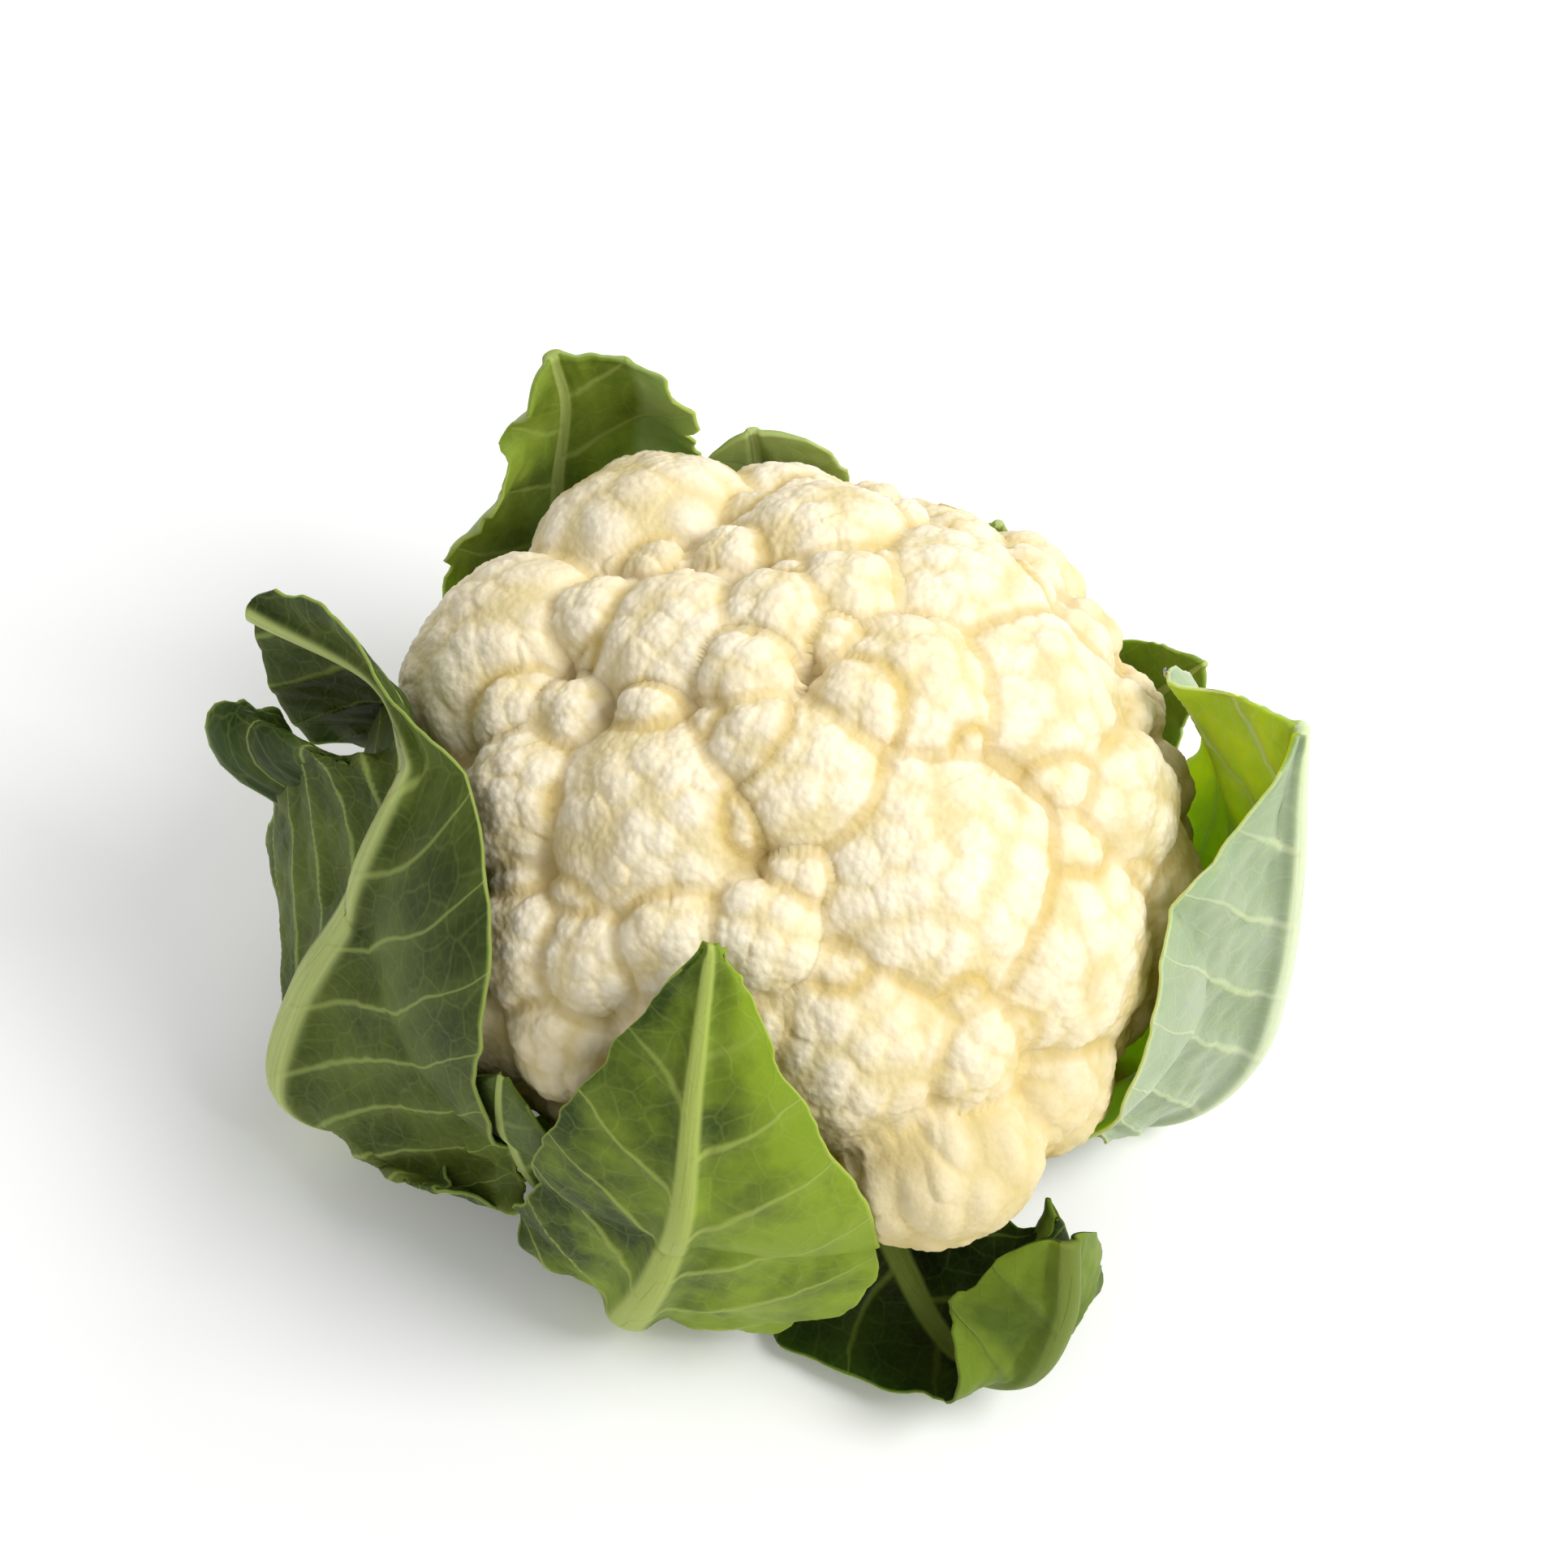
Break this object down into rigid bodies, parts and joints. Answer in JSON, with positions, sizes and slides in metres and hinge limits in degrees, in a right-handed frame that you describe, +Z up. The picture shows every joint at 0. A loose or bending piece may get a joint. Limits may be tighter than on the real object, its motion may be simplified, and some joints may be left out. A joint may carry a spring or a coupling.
{
  "type": "cauliflower",
  "caption": "Trimmed head of cauliflower: a domed curd of knobbly florets on a cut stem stump, cupped by ribbed green leaves with wavy toothed edges.",
  "frame": {"origin": "centre of the stem stump's flat cut face, on which the head stands", "axes": "+Z up along the stem towards the top of the curd; -Y towards the front leaf; +X towards the right leaf"},
  "size_m": [0.2228, 0.2027, 0.136],
  "materials": {
    "curd": "matt, cream, granular",
    "stem": "matt, pale green, fresh cut",
    "leaf": "satin, green with a waxy bloom"
  },
  "bodies": {
    "root": {"curd": "curd", "stem": "stem", "leaf_left": "leaf", "leaf_front": "leaf", "leaf_right": "leaf", "leaf_low": "leaf", "leaf_small": "leaf", "leaf_back_left": "leaf", "leaf_back": "leaf", "leaf_back_right": "leaf", "leaf_back_far": "leaf"}
  },
  "joints": []
}
